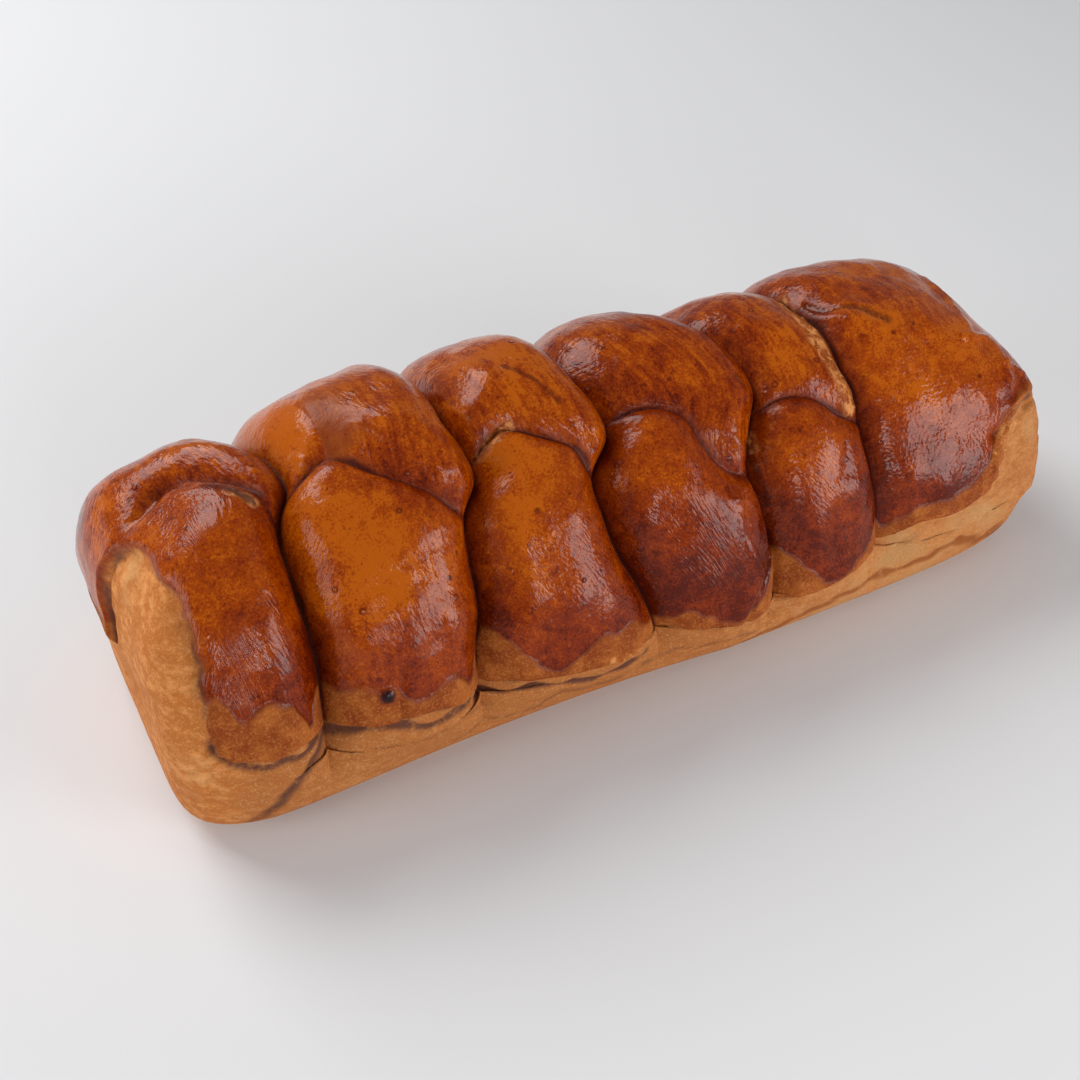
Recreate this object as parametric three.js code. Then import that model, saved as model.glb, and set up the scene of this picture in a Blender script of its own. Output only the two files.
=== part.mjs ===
// A plaited brioche loaf, baked in a long tin. It is one piece of bread, so it is one solid.
// Millimetres, +Z up, +X along the loaf, -Y the front. The origin is the middle of the foot.
//
// The loaf is worked out in two steps. The tin form is a smooth body: straight flaring sides with
// a rounded foot, and a round crown above. The relief is then laid on it: six turns of the plait,
// most of them a front lobe and a back lobe that meet in a slanting seam, deep creases between
// the turns, a glazed skin that stops above the foot, and pale folded dough below the skin.

import * as THREE from "three";

// The tin form
const LEFT_END = -151;
const RIGHT_END = 155;
const WIDTH = 117;
const HEIGHT = 98;
const SIDE_TOP = 25; // height at which the straight side gives way to the crown
const CROWN_POWER = 1.8; // roundness of the crown across the loaf, where 2 is an ellipse
const CROWN_POWER_LEFT = 4.3; // the same towards the left end
const CROWN_POWER_RIGHT = 2.85;
const PLAN_POWER_LEFT = 7.5; // squareness of the left end seen from above
const PLAN_POWER_FRONT = 6.6; // the same for the front and back corners of the right end
const PLAN_POWER_BACK = 3.3;
const FOOT_WIDTH_SHARE = 0.86;
const FOOT_LENGTH_SHARE = 0.97;
const FOOT_RADIUS = 11;
const SMALLEST_REACH = 0.001;

// The sides draw in at the foot, most at PINCH_X
const FOOT_PINCH = 3.5;
const PINCH_X = -50;
const PINCH_REACH = 75;
const PINCH_TOP = 34;

// The core line that the rays of the grid start from
const CORE_HEIGHT = 40;
const CORE_END = 120;
const SIDE_REACH = 58; // from the core line to the surface, for turning angles into lengths

// Creases between the turns: x of each crease at these angles round the loaf.
// The angle is 0 at the front, 90 at the top and 180 at the back.
const CREASE_ANGLES = [-20, 0, 20, 35, 50, 60, 70, 80, 95, 115, 150, 190];
const CREASES = [
  [-108, -107, -105, -105, -105, -105, -103, -98, -98, -102, -104, -104],
  [-61, -61, -57, -56, -54, -48, -48, -50, -49, -50, -53, -54],
  [-2, -6, -12, -14, -13, -6, -5, -7, -9, -10, -12, -12],
  [37, 38, 36, 35, 41, 45, 45, 42, 36, 34, 31, 30],
  [78, 78, 77, 77, 78, 77, 77, 77, 76, 74, 71, 69],
];
const CREASE_DEPTHS = [11, 9, 9.5, 8.5, 8];
const FADE_ANGLES = [-30, -5, 20, 45, 90, 150, 215];
const FADE = [0.1, 0.5, 0.85, 1, 0.8, 0.75, 0.1];
const LEFT_FLANK = 15; // width of the slow rise on the left of a lobe
const RIGHT_FLANK = 8; // width of the steep fall on its right
const FLANK_POWER = 0.62; // roundness of a flank, where 0.5 is a quarter circle

// Seams between the front and back lobe of a turn: angle at even shares of the turn's width
const SEAM_SHARES = [0, 0.25, 0.5, 0.75, 1];
const SEAMS = [
  [88, 96, 100, 86, 67],
  [76, 80, 70, 58, 48],
  [67, 72, 65, 57, 47],
  [66, 65, 56, 39, 30],
  [52, 54, 51, 43, 36],
];
const SEAM_DEPTH = 5.5;
const FRONT_FLANK = 9; // width of a seam's slope on the front lobe
const BACK_FLANK = 14;

// The form of each turn on top of its edges
const LOBE_CROWN = 4.2; // how much higher the middle of a lobe is than its sides
const FRONT_LIFT = [0, 1, 0.6, 1, 0, -1]; // how far the front of each turn stands out
const BACK_LIFT = [-2, 3.5, 3, -1, -4, 2];
const FRONT_TILT = [2, 2, 2, 2, 2, 2]; // how much higher its right side is than its left
const BACK_TILT = [2, 6, 3, 4, 0, 3];
const LIFT_BLEND = 24; // width over which the front's lift gives way to the back's
const LAST_BLEND_FROM = 40; // the same for the last turn, as angles
const LAST_BLEND_OVER = 50;
const RELIEF_FOOT = 6; // height at which the relief starts
const RELIEF_FULL = 30;
const END_MARGIN = 5; // flat margin at each end of the loaf
const END_BLEND = 20;

// The glazed skin stops above the foot, at these heights along x
const SKIN_STATIONS = [-150, -120, -95, -61, -30, -3, 17, 37, 60, 77, 95, 112, 122, 128, 150];
const SKIN_FOOT = [41, 37, 37, 33, 29, 28, 25, 22, 26, 30, 34, 35, 40, 54, 58];
// It also stops before the left end: x of its edge at angles round the loaf
const SKIN_LEFT_ANGLES = [-20, 14, 33, 45, 66, 85, 100, 200];
const SKIN_LEFT_END = [-139, -138, -135, -135, -138, -141, -148, -149];
const SKIN_STEP = 2.6;
const SKIN_STEP_RIGHT = 1; // the step at the right end, reached over LOWER_OVER from LOWER_FROM
const LOWER_FROM = 105;
const LOWER_OVER = 30;
const SKIN_EDGE = 1.6;

// Mesh: columns in each end cap and in each turn, and rows round the loaf
const CAP_COLUMNS = 9;
const TURN_COLUMNS = [4, 12, 12, 11, 10, 9];
const ROW_ZONES = [
  [-47, -27, 6], // from an angle, to an angle, number of rows
  [-27, 20, 8],
  [20, 62, 13],
  [62, 122, 17],
  [122, 207, 12],
  [207, 227, 6],
  [227, 313, 3],
];
const CROWDING = 0.55; // how much closer columns stand at a crease than mid-turn

// One row follows the seams: its resting angle, and how far round it pushes its neighbours
const SEAM_ROW = 62; // the first angle of a row zone
const SEAM_ROW_REACH = 55;
const FOLLOW_FROM = 0.06; // shares of a turn between which the row is on the seam
const FOLLOW_TO = 0.9;
const FOLLOW_STEPS = 12;
const CAP_SHARE = 0.67; // share of the first turn that lies in the left end cap

const HALVINGS = 30;
const FARTHEST = 155; // no ray from the core to the surface is longer
const FOOT_FLAT = 0.5; // below this height the form is flat foot, with no outward direction
const FOOT_SNAP = 0.05; // below this height a point is set on the table
const PROBE = 0.05; // half the distance between the points that a slope is taken from
const CREST = 83; // height above which the relief's direction gives way to the ray's own
const CREST_BLEND = 12;
const LAST = CREASES.length; // number of the last turn, where the first is 0

const radians = (deg) => (deg * Math.PI) / 180;
const clamp = (t) => Math.min(1, Math.max(0, t));
const smooth = (t) => clamp(t) ** 2 * (3 - 2 * clamp(t));
const mix = (a, b, t) => a + (b - a) * t;

// Slope of a list of values at each of its stations: the parabola through the station and its
// two neighbours, or the straight line to the only neighbour
function slopes(stations, values) {
  const step = (i) => (values[i + 1] - values[i]) / (stations[i + 1] - stations[i]);
  return values.map((_, i) => {
    if (i === 0) return step(0);
    if (i === values.length - 1) return step(i - 1);
    const before = stations[i] - stations[i - 1];
    const after = stations[i + 1] - stations[i];
    return (step(i) * before + step(i - 1) * after) / (before + after);
  });
}

// A smooth curve through values at their stations, as a function
function curve(stations, values) {
  const slope = slopes(stations, values);
  return (at) => {
    const s = Math.min(stations.at(-1), Math.max(stations[0], at));
    let i = 0;
    while (i < stations.length - 2 && s >= stations[i + 1]) i++;
    const w = stations[i + 1] - stations[i];
    const t = (s - stations[i]) / w;
    const start = (1 + 2 * t) * (1 - t) ** 2 * values[i] + t * (1 - t) ** 2 * w * slope[i];
    const end = t ** 2 * (3 - 2 * t) * values[i + 1] - t ** 2 * (1 - t) * w * slope[i + 1];
    return start + end;
  };
}

const creaseCurves = CREASES.map((xs) => curve(CREASE_ANGLES, xs));
const seamCurves = SEAMS.map((angles) => curve(SEAM_SHARES, angles));
const fade = curve(FADE_ANGLES, FADE);
const skinFoot = curve(SKIN_STATIONS, SKIN_FOOT);
const skinLeftEnd = curve(SKIN_LEFT_ANGLES, SKIN_LEFT_END);

// How far the tin form reaches at a height: to the left, to the right and to each side
function level(z) {
  const side = clamp(z / SIDE_TOP);
  const drop = clamp((z - SIDE_TOP) / (HEIGHT - SIDE_TOP));
  const inFoot = FOOT_RADIUS * (1 - clamp(z / FOOT_RADIUS));
  const tuck = FOOT_RADIUS - Math.sqrt(FOOT_RADIUS ** 2 - inFoot ** 2);
  const reach = (size, footShare, power) =>
    Math.max(
      size * mix(footShare, 1, side) * (1 - drop ** power) ** (1 / power) - tuck,
      SMALLEST_REACH,
    );
  return [
    reach(-LEFT_END, FOOT_LENGTH_SHARE, CROWN_POWER_LEFT),
    reach(RIGHT_END, FOOT_LENGTH_SHARE, CROWN_POWER_RIGHT),
    reach(WIDTH / 2, FOOT_WIDTH_SHARE, CROWN_POWER),
  ];
}

// Below 1 inside the tin form and above 1 outside it
function formAt(p) {
  if (p.z <= 0 || p.z >= HEIGHT) return 2;
  const [left, right, aside] = level(p.z);
  const rightPower = p.y < 0 ? PLAN_POWER_FRONT : PLAN_POWER_BACK;
  const power = p.x < 0 ? PLAN_POWER_LEFT : rightPower;
  return Math.abs(p.x / (p.x < 0 ? left : right)) ** power + Math.abs(p.y / aside) ** power;
}

// Where a ray from the core meets the tin form, found by halving
function meet(origin, direction) {
  const p = new THREE.Vector3();
  let near = 0;
  let far = FARTHEST;
  for (let n = 0; n < HALVINGS; n++) {
    const mid = (near + far) / 2;
    if (formAt(p.copy(origin).addScaledVector(direction, mid)) < 1) near = mid;
    else far = mid;
  }
  return p.copy(origin).addScaledVector(direction, near);
}

// The direction of the tin form's surface at a point, from slopes; the flat foot has none
function outward(p) {
  if (p.z < FOOT_FLAT) return new THREE.Vector3();
  const slope = (axis) => {
    const ahead = p.clone();
    const behind = p.clone();
    ahead[axis] += PROBE;
    behind[axis] -= PROBE;
    return formAt(ahead) - formAt(behind);
  };
  return new THREE.Vector3(slope("x"), slope("y"), slope("z")).normalize();
}

// Left edge of a turn at an angle; turn 0 starts at the left end and the one after the last
// turn at the right end
function edge(turn, angle) {
  if (turn === 0) return LEFT_END;
  if (turn > LAST) return RIGHT_END;
  return creaseCurves[turn - 1](angle);
}

const edgeDepth = (turn, angle) =>
  turn === 0 || turn > LAST ? 0 : CREASE_DEPTHS[turn - 1] * fade(angle);

// A rounded slope: 1 at an edge, falling to 0 a flank's width away
const flank = (distance, width) => 1 - (1 - (1 - clamp(distance / width)) ** 2) ** FLANK_POWER;

// Distance of a point of a turn from its seam: above 0 on the back lobe, below 0 on the front
function fromSeam(turn, share, angle, width) {
  if (turn === LAST) return RIGHT_END - LEFT_END;
  const seam = seamCurves[turn];
  const perDegree = radians(1) * SIDE_REACH;
  const slope = (seam(share + PROBE) - seam(share - PROBE)) / (2 * PROBE);
  return ((angle - seam(share)) * perDegree) / Math.hypot(1, (slope * perDegree) / width);
}

// Slow lumps of proved dough, as a sum of crossed waves
const lumps = (p) =>
  0.45 * Math.sin(0.11 * p.x + 0.07 * p.z + 1.3) +
  0.4 * Math.sin(0.09 * p.x - 0.12 * p.y + 4.1) +
  0.3 * Math.sin(0.17 * p.z + 0.05 * p.x + 0.14 * p.y + 2.2);

// How far the skin has ended at a point: 0 on the skin, 1 on the pale dough
function beyondSkin(p, angle) {
  const past = Math.max(skinFoot(p.x) - p.z, skinLeftEnd(angle) - p.x);
  return smooth(0.5 + past / (2 * SKIN_EDGE));
}

// Height of the surface above the tin form, at a point of the form and an angle round it
function relief(p, angle) {
  let turn = 0;
  while (turn < LAST && p.x > edge(turn + 1, angle)) turn++;
  const left = edge(turn, angle);
  const right = edge(turn + 1, angle);
  const share = clamp((p.x - left) / (right - left));
  const leftFlank = flank(p.x - left, LEFT_FLANK);
  const rightFlank = flank(right - p.x, RIGHT_FLANK);
  const seam = fromSeam(turn, share, angle, right - left);
  const falls = [
    leftFlank * edgeDepth(turn, angle),
    rightFlank * edgeDepth(turn + 1, angle),
    flank(Math.abs(seam), seam > 0 ? BACK_FLANK : FRONT_FLANK) * SEAM_DEPTH,
  ];
  const fall = falls.reduce((sum, f) => sum + f ** 4, 0) ** 0.25;

  let back = smooth(0.5 + seam / LIFT_BLEND);
  let across = 2 * share - 1;
  if (turn === LAST) back = smooth((angle - LAST_BLEND_FROM) / LAST_BLEND_OVER);
  if (turn === LAST) across = Math.min(across, 0);
  if (turn === 0) across = Math.max(across, 0);
  const tilt = mix(FRONT_TILT[turn], BACK_TILT[turn], back) / 2;
  const lift = mix(FRONT_LIFT[turn], BACK_LIFT[turn], back) + tilt * across;
  const lobe = (1 - leftFlank) * (1 - rightFlank) * lift - LOBE_CROWN * across ** 2;

  const fromEnd = Math.min(p.x - LEFT_END, RIGHT_END - p.x);
  const aside = smooth((fromEnd - END_MARGIN) / END_BLEND);
  const step = mix(SKIN_STEP, SKIN_STEP_RIGHT, smooth((p.x - LOWER_FROM) / LOWER_OVER));
  const body = aside * (lobe - fall) + lumps(p) - beyondSkin(p, angle) * step;
  const reach = clamp(1 - ((p.x - PINCH_X) / PINCH_REACH) ** 2);
  const pinch = FOOT_PINCH * smooth(1 - p.z / PINCH_TOP) * reach;
  return smooth((p.z - RELIEF_FOOT) / (RELIEF_FULL - RELIEF_FOOT)) * body - pinch;
}

// Columns from the left end to the right: the tilt of an end cap's rays or a share of a turn,
// and the column's place along the plait, counted in turns
function columns() {
  const list = [];
  for (let i = 1; i < CAP_COLUMNS; i++) {
    const t = i / CAP_COLUMNS;
    list.push({ side: -1, tilt: 90 * (1 - t), turn: 0, share: 0, place: CAP_SHARE * t });
  }
  TURN_COLUMNS.forEach((count, turn) => {
    for (let i = 0; i < count; i++) {
      const t = i / count;
      const share = t - (CROWDING * Math.sin(2 * Math.PI * t)) / (2 * Math.PI);
      const place = turn === 0 ? mix(CAP_SHARE, 1, share) : turn + share;
      list.push({ side: 0, tilt: 0, turn, share, place });
    }
  });
  for (let i = 0; i < CAP_COLUMNS; i++)
    list.push({ side: 1, tilt: (90 * i) / CAP_COLUMNS, turn: LAST, share: 1, place: LAST + 1 });
  return list;
}

// Resting angles of the rows
const rowAngles = () =>
  ROW_ZONES.flatMap(([from, to, count]) =>
    Array.from({ length: count }, (_, i) => mix(from, to, i / count)),
  );

// Angle that the seam row takes in each column: on the seam inside a turn, and straight across
// the crease from one turn's seam to the next one's
function seamRowPath() {
  const stations = [];
  const angles = [];
  seamCurves.forEach((seam, turn) => {
    for (let i = 0; i < FOLLOW_STEPS; i++) {
      const share = mix(FOLLOW_FROM, FOLLOW_TO, i / (FOLLOW_STEPS - 1));
      stations.push(turn + share);
      angles.push(seam(share));
    }
  });
  stations.push(LAST + 0.5);
  angles.push(SEAM_ROW);
  return ({ place }) => {
    const next = stations.findIndex((s) => s > place);
    if (next === 0) return angles[0];
    if (next < 0) return angles.at(-1);
    const t = (place - stations[next - 1]) / (stations[next] - stations[next - 1]);
    return mix(angles[next - 1], angles[next], t);
  };
}

// The point of the loaf's surface in a column at an angle round the loaf
function surfacePoint(column, angle) {
  const tilt = radians(column.tilt);
  const a = radians(angle);
  const direction = new THREE.Vector3(
    column.side * Math.sin(tilt),
    -Math.cos(tilt) * Math.cos(a),
    Math.cos(tilt) * Math.sin(a),
  );
  const left = column.turn === 0 ? -CORE_END : edge(column.turn, angle);
  const right = column.turn === LAST ? CORE_END : edge(column.turn + 1, angle);
  const x = mix(left, right, column.share);
  const p = meet(new THREE.Vector3(x, 0, CORE_HEIGHT), direction);
  const crest = smooth((p.z - CREST) / CREST_BLEND);
  p.addScaledVector(outward(p).lerp(direction, crest).normalize(), relief(p, angle));
  if (p.z < FOOT_SNAP) p.z = 0;
  return p;
}

function loafGeometry() {
  const rows = rowAngles();
  const cols = columns();
  const seamRow = seamRowPath();
  const points = cols.flatMap((column) => {
    const push = seamRow(column) - SEAM_ROW;
    return rows.map((row) => {
      const near = clamp(1 - Math.abs(row - SEAM_ROW) / SEAM_ROW_REACH);
      return surfacePoint(column, row + push * Math.sin((Math.PI / 2) * near) ** 2);
    });
  });
  const leftPole = points.length;
  points.push(surfacePoint({ side: -1, tilt: 90, turn: 0, share: 0 }, 0));
  points.push(surfacePoint({ side: 1, tilt: 90, turn: LAST, share: 1 }, 0));
  const at = (i, j) => i * rows.length + (j % rows.length);
  const faces = [];
  for (let j = 0; j < rows.length; j++) {
    faces.push(leftPole, at(0, j), at(0, j + 1));
    faces.push(leftPole + 1, at(cols.length - 1, j + 1), at(cols.length - 1, j));
    for (let i = 0; i < cols.length - 1; i++) {
      faces.push(at(i, j), at(i + 1, j), at(i + 1, j + 1));
      faces.push(at(i, j), at(i + 1, j + 1), at(i, j + 1));
    }
  }
  const geometry = new THREE.BufferGeometry().setFromPoints(points);
  geometry.setIndex(faces);
  geometry.computeBoundingBox();
  const middle = geometry.boundingBox.getCenter(new THREE.Vector3());
  geometry.translate(-middle.x, -middle.y, 0);
  geometry.computeVertexNormals();
  return geometry;
}

const crust = new THREE.MeshStandardMaterial({
  color: 0xb4601c,
  roughness: 0.42,
  metalness: 0,
});

const loaf = new THREE.Mesh(loafGeometry(), crust);
loaf.name = "brioche";

const part = new THREE.Group();
part.add(loaf);

export default part;
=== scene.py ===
"""Plaited brioche loaf: one skin of glazed crust and pale dough on a plain studio floor.

Lengths are in millimetres until the mesh is made, which is in metres. The places of creases,
seams, edges and small forms were picked on the photograph and turned into millimetres
with a camera fitted to the loaf's outline; some were then changed.
"""

import bpy
import numpy as np
from mathutils import Matrix


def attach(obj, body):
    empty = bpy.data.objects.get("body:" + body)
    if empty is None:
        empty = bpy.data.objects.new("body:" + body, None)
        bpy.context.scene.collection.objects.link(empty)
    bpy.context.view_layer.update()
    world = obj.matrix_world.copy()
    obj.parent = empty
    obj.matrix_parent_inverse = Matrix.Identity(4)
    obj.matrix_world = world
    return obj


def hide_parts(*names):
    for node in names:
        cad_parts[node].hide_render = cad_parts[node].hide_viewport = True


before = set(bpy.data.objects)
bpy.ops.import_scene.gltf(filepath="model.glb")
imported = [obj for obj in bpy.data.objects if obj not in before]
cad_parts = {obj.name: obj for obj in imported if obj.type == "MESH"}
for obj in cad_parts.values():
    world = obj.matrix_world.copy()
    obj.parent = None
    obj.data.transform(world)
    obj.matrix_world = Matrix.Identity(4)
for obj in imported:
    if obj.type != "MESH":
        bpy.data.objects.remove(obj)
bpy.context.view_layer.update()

# The tin form
LEFT_END, RIGHT_END = -151.0, 155.0
WIDTH, HEIGHT = 117.0, 98.0
SIDE_TOP = 25.0
CROWN_POWER, CROWN_POWER_LEFT, CROWN_POWER_RIGHT = 1.8, 4.3, 2.85
PLAN_POWER_LEFT, PLAN_POWER_FRONT, PLAN_POWER_BACK = 7.5, 6.6, 3.3
FOOT_WIDTH_SHARE, FOOT_LENGTH_SHARE, FOOT_RADIUS = 0.86, 0.97, 11.0
FOOT_PINCH, PINCH_X, PINCH_REACH, PINCH_TOP = 3.5, -50.0, 75.0, 34.0
CORE_HEIGHT, CORE_END, SIDE_REACH = 40.0, 120.0, 58.0
PER_DEGREE = np.radians(1) * SIDE_REACH  # length of one degree round the side

# Creases between the turns: x at these angles round the loaf, 0 at the front and 90 at the top
CREASE_ANGLES = [-20, 0, 20, 35, 50, 60, 70, 80, 95, 115, 150, 190]
CREASES = [
    [-108, -107, -105, -105, -105, -105, -103, -98, -98, -102, -104, -104],
    [-61, -61, -57, -56, -54, -48, -48, -50, -49, -50, -53, -54],
    [-2, -6, -12, -14, -13, -6, -5, -7, -9, -10, -12, -12],
    [37, 38, 36, 35, 41, 45, 45, 42, 36, 34, 31, 30],
    [78, 78, 77, 77, 78, 77, 77, 77, 76, 74, 71, 69],
]
LAST = len(CREASES)
CREASE_DEPTHS = [11, 9, 9.5, 8.5, 8]
FADE_ANGLES = [-30, -5, 20, 45, 90, 150, 215]
FADE = [0.1, 0.5, 0.85, 1, 0.8, 0.75, 0.1]
LEFT_FLANK, RIGHT_FLANK, FLANK_POWER = 15.0, 13.0, 0.62

# Seams between the front and back lobe of a turn: angle at even shares of the turn's width
SEAM_SHARES = [0, 0.25, 0.5, 0.75, 1]
SEAMS = [
    [88, 96, 100, 86, 67],
    [76, 80, 70, 58, 48],
    [67, 72, 65, 57, 47],
    [66, 65, 56, 39, 30],
    [52, 54, 51, 43, 36],
]
SEAM_DEPTH, FRONT_FLANK, BACK_FLANK = 5.5, 9.0, 14.0

# The form of each turn on top of its edges
LOBE_CROWN = 4.2
FRONT_LIFT = [0, 1, 0.6, 1, 0, -1]
BACK_LIFT = [-2, 3.5, 3, -1, -4, 2]
FRONT_TILT = [2, 2, 2, 2, 2, 2]
BACK_TILT = [2, 6, 3, 4, 0, 3]
LIFT_BLEND, LAST_BLEND_FROM, LAST_BLEND_OVER = 24.0, 40.0, 50.0
RELIEF_FOOT, RELIEF_FULL = 6.0, 30.0
END_MARGIN, END_BLEND = 5.0, 20.0

# The glazed skin stops above the foot (height at x) and before the left end (x at an angle)
SKIN_STATIONS = [-150, -120, -95, -61, -30, -3, 17, 37, 60, 77, 95, 112, 122, 128, 150]
SKIN_FOOT = [41, 37, 37, 33, 29, 28, 25, 22, 26, 30, 34, 35, 40, 54, 58]
SKIN_LEFT_ANGLES = [-20, 14, 33, 45, 66, 85, 100, 200]
SKIN_LEFT_END = [-139, -138, -135, -135, -138, -141, -148, -149]
SKIN_STEP, SKIN_EDGE = 2.6, 0.9
SKIN_STEP_RIGHT, LOWER_FROM, LOWER_OVER = 1.0, 105.0, 30.0
SKIN_CORNER = 7.0  # radius that rounds the skin's lower left corner

# The egg wash stops higher still on the front, at this height along x, with narrow drips
WASH_STATIONS = [
    *(-150, -139, -134, -128, -122, -116, -108, -104, -96, -90, -84, -76, -70, -62, -58, -51),
    *(-45, -40, -33, -27, -20, -12, -6, 0, 5, 11, 17, 24, 30, 35, 39, 43, 48, 54, 60, 66),
    *(73, 77, 80, 84, 91, 101, 110, 118, 123, 150),
]
WASH_HEIGHT = [
    *(50, 54, 58, 53, 52, 51, 50, 49, 48, 47, 42, 42, 44, 44, 50, 44),
    *(36, 33, 36, 40, 42, 38, 33, 33, 35, 31, 28, 27, 34, 40, 43, 39, 34, 28, 28, 31),
    *(36, 40, 35, 37, 40, 41, 43, 48, 56, 62),
]
DRIPS = [(-129.5, 5, 2.6), (-112, 9, 2.4), (-66.5, 5, 3.0), (-20, 3, 4.0), (31, 3, 3.5)]
WASH_BEHIND = 7.0  # height of the wash's edge above the skin's on the back of the loaf
WASH_BACK_FROM, WASH_BACK_OVER = 90.0, 20.0
WASH_MARGIN = 0.7

# Grid of the skin
CAP_COLUMNS_LEFT, CAP_COLUMNS_RIGHT = 40, 36
TURN_COLUMNS = [18, 62, 62, 58, 50, 52]
ROW_ZONES = [
    (-50, -24, 22),
    (-24, 20, 46),
    (20, 62, 46),
    (62, 122, 64),
    (122, 207, 40),
    (207, 230, 18),
    (230, 310, 12),
]
CROWDING = 0.55
SEAM_ROW, SEAM_ROW_REACH = 62.0, 55.0
FOLLOW_FROM, FOLLOW_TO, FOLLOW_STEPS, CAP_SHARE = 0.06, 0.9, 12, 0.67

MILLIMETRE = 0.001
CREST, CREST_BLEND = 83.0, 12.0
SMALLEST_REACH, FARTHEST = 0.001, 155.0
FOOT_FLAT = 0.5  # below this height the form is flat foot, with no outward direction
FOOT_SNAP = 0.05  # below this height a point is set on the table
HALVINGS = 30
PROBE = 0.05  # half the distance between the points that a slope is taken from
TINY, FAR_OFF = 1e-9, 1e3

# Unevenness of the surface, each kind as height, size, number of waves and seed
SIZE_SPREAD = 0.7, 1.4
FOOT_SWAY, END_SWAY = (0.5, 12, 6, 21), (0.5, 10, 6, 22)
LIP_BREAKS, FOLD_SWAY = (1.0, 18, 6, 23), (0.8, 9, 6, 24)
WASH_SWAY, PALE_SWAY = (0.5, 6, 8, 25), (0.1, 25, 6, 26)
SWELL, PUCKER, CRUMPLE = (0.22, 16, 10, 31), (1.0, 7, 12, 32), (1.0, 4.5, 8, 41)
SKIN_PUCKER, DOUGH_PUCKER, TEAR_HEIGHT = 0.07, 0.1, 0.4


def smooth(t):
    """Ease from 0 to 1: three t squared less two t cubed."""
    t = np.clip(t, 0, 1)
    return t * t * (3 - 2 * t)


def curve(stations, values, at):
    """Cubic pieces through the values, with the slope of the parabola through each three."""
    s = np.asarray(stations, float)
    v = np.asarray(values, float)
    slope = np.gradient(v, s)
    at = np.clip(at, s[0], s[-1])
    i = np.clip(np.searchsorted(s, at, side="right") - 1, 0, len(s) - 2)
    w = s[i + 1] - s[i]
    t = (at - s[i]) / w
    start = (1 + 2 * t) * (1 - t) ** 2 * v[i] + t * (1 - t) ** 2 * w * slope[i]
    end = t * t * (3 - 2 * t) * v[i + 1] - t * t * (1 - t) * w * slope[i + 1]
    return start + end


def level(z):
    """Reach to the left, right and side at a height: a flared side under a crown that closes as
    one less the height's power, to one over that power, less the quarter round of the foot."""
    side = np.clip(z / SIDE_TOP, 0, 1)
    drop = np.clip((z - SIDE_TOP) / (HEIGHT - SIDE_TOP), 0, 1)
    in_foot = FOOT_RADIUS * (1 - np.clip(z / FOOT_RADIUS, 0, 1))
    tuck = FOOT_RADIUS - np.sqrt(FOOT_RADIUS**2 - in_foot**2)

    def reach(size, share, power):
        flare = share + (1 - share) * side
        return np.maximum(size * flare * (1 - drop**power) ** (1 / power) - tuck, SMALLEST_REACH)

    return (
        reach(-LEFT_END, FOOT_LENGTH_SHARE, CROWN_POWER_LEFT),
        reach(RIGHT_END, FOOT_LENGTH_SHARE, CROWN_POWER_RIGHT),
        reach(WIDTH / 2, FOOT_WIDTH_SHARE, CROWN_POWER),
    )


def form(p):
    """Sum of the powers of x and y over how far the form reaches there: below 1 inside."""
    x, y, z = p[..., 0], p[..., 1], p[..., 2]
    left, right, aside = level(z)
    power = np.where(y < 0, PLAN_POWER_FRONT, PLAN_POWER_BACK)
    power = np.where(x < 0, PLAN_POWER_LEFT, power)
    value = np.abs(x / np.where(x < 0, left, right)) ** power + np.abs(y / aside) ** power
    return np.where((z <= 0) | (z >= HEIGHT), 2.0, value)


def meet(origin, direction):
    """Where rays from the core meet the tin form, by halving the distance again and again."""
    near = np.zeros(origin.shape[:-1])
    far = np.full(origin.shape[:-1], FARTHEST)
    for _ in range(HALVINGS):
        mid = (near + far) / 2
        inside = form(origin + direction * mid[..., None]) < 1
        near = np.where(inside, mid, near)
        far = np.where(inside, far, mid)
    return origin + direction * near[..., None]


def outward(p):
    """Slope of the form along each axis, made one long; nothing on the flat foot."""
    grow = np.zeros_like(p)
    for axis in range(3):
        step = np.zeros(3)
        step[axis] = PROBE
        grow[..., axis] = form(p + step) - form(p - step)
    size = np.linalg.norm(grow, axis=-1, keepdims=True)
    grow = grow / np.maximum(size, TINY)
    return np.where(p[..., 2:3] < FOOT_FLAT, 0.0, grow)


def relief_way(p, ray):
    """Outward, which gives way to the ray's own direction above the crest."""
    crest = smooth((p[..., 2:3] - CREST) / CREST_BLEND)
    way = outward(p) * (1 - crest) + ray * crest
    return way / np.maximum(np.linalg.norm(way, axis=-1, keepdims=True), TINY)


def edge(turn, angle):
    """Left edge of a turn: its crease, or the loaf's end for the first and past the last."""
    if turn == 0:
        return np.full_like(angle, LEFT_END)
    if turn > LAST:
        return np.full_like(angle, RIGHT_END)
    return curve(CREASE_ANGLES, CREASES[turn - 1], angle)


def flank(distance, width):
    """Rounded slope: 1 at an edge, down to 0 a flank's width away."""
    t = 1 - np.clip(distance / width, 0, 1)
    return 1 - np.maximum(1 - t * t, 0) ** FLANK_POWER


def bell(distance, width):
    """One at no distance, dying away as e to the minus square of distance over width."""
    return np.exp(-((distance / width) ** 2))


def waves(p, height, size, count, seed):
    """Height times the sum of sine waves in random directions, over the root of their number;
    each wave is about size from crest to crest."""
    rng = np.random.default_rng(seed)
    total = np.zeros(p.shape[:-1])
    for _ in range(count):
        way = rng.normal(size=3)
        way *= 2 * np.pi / (np.linalg.norm(way) * size * rng.uniform(*SIZE_SPREAD))
        total += np.sin(p @ way + rng.uniform(0, 2 * np.pi))
    return height * (total / np.sqrt(count))


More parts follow.
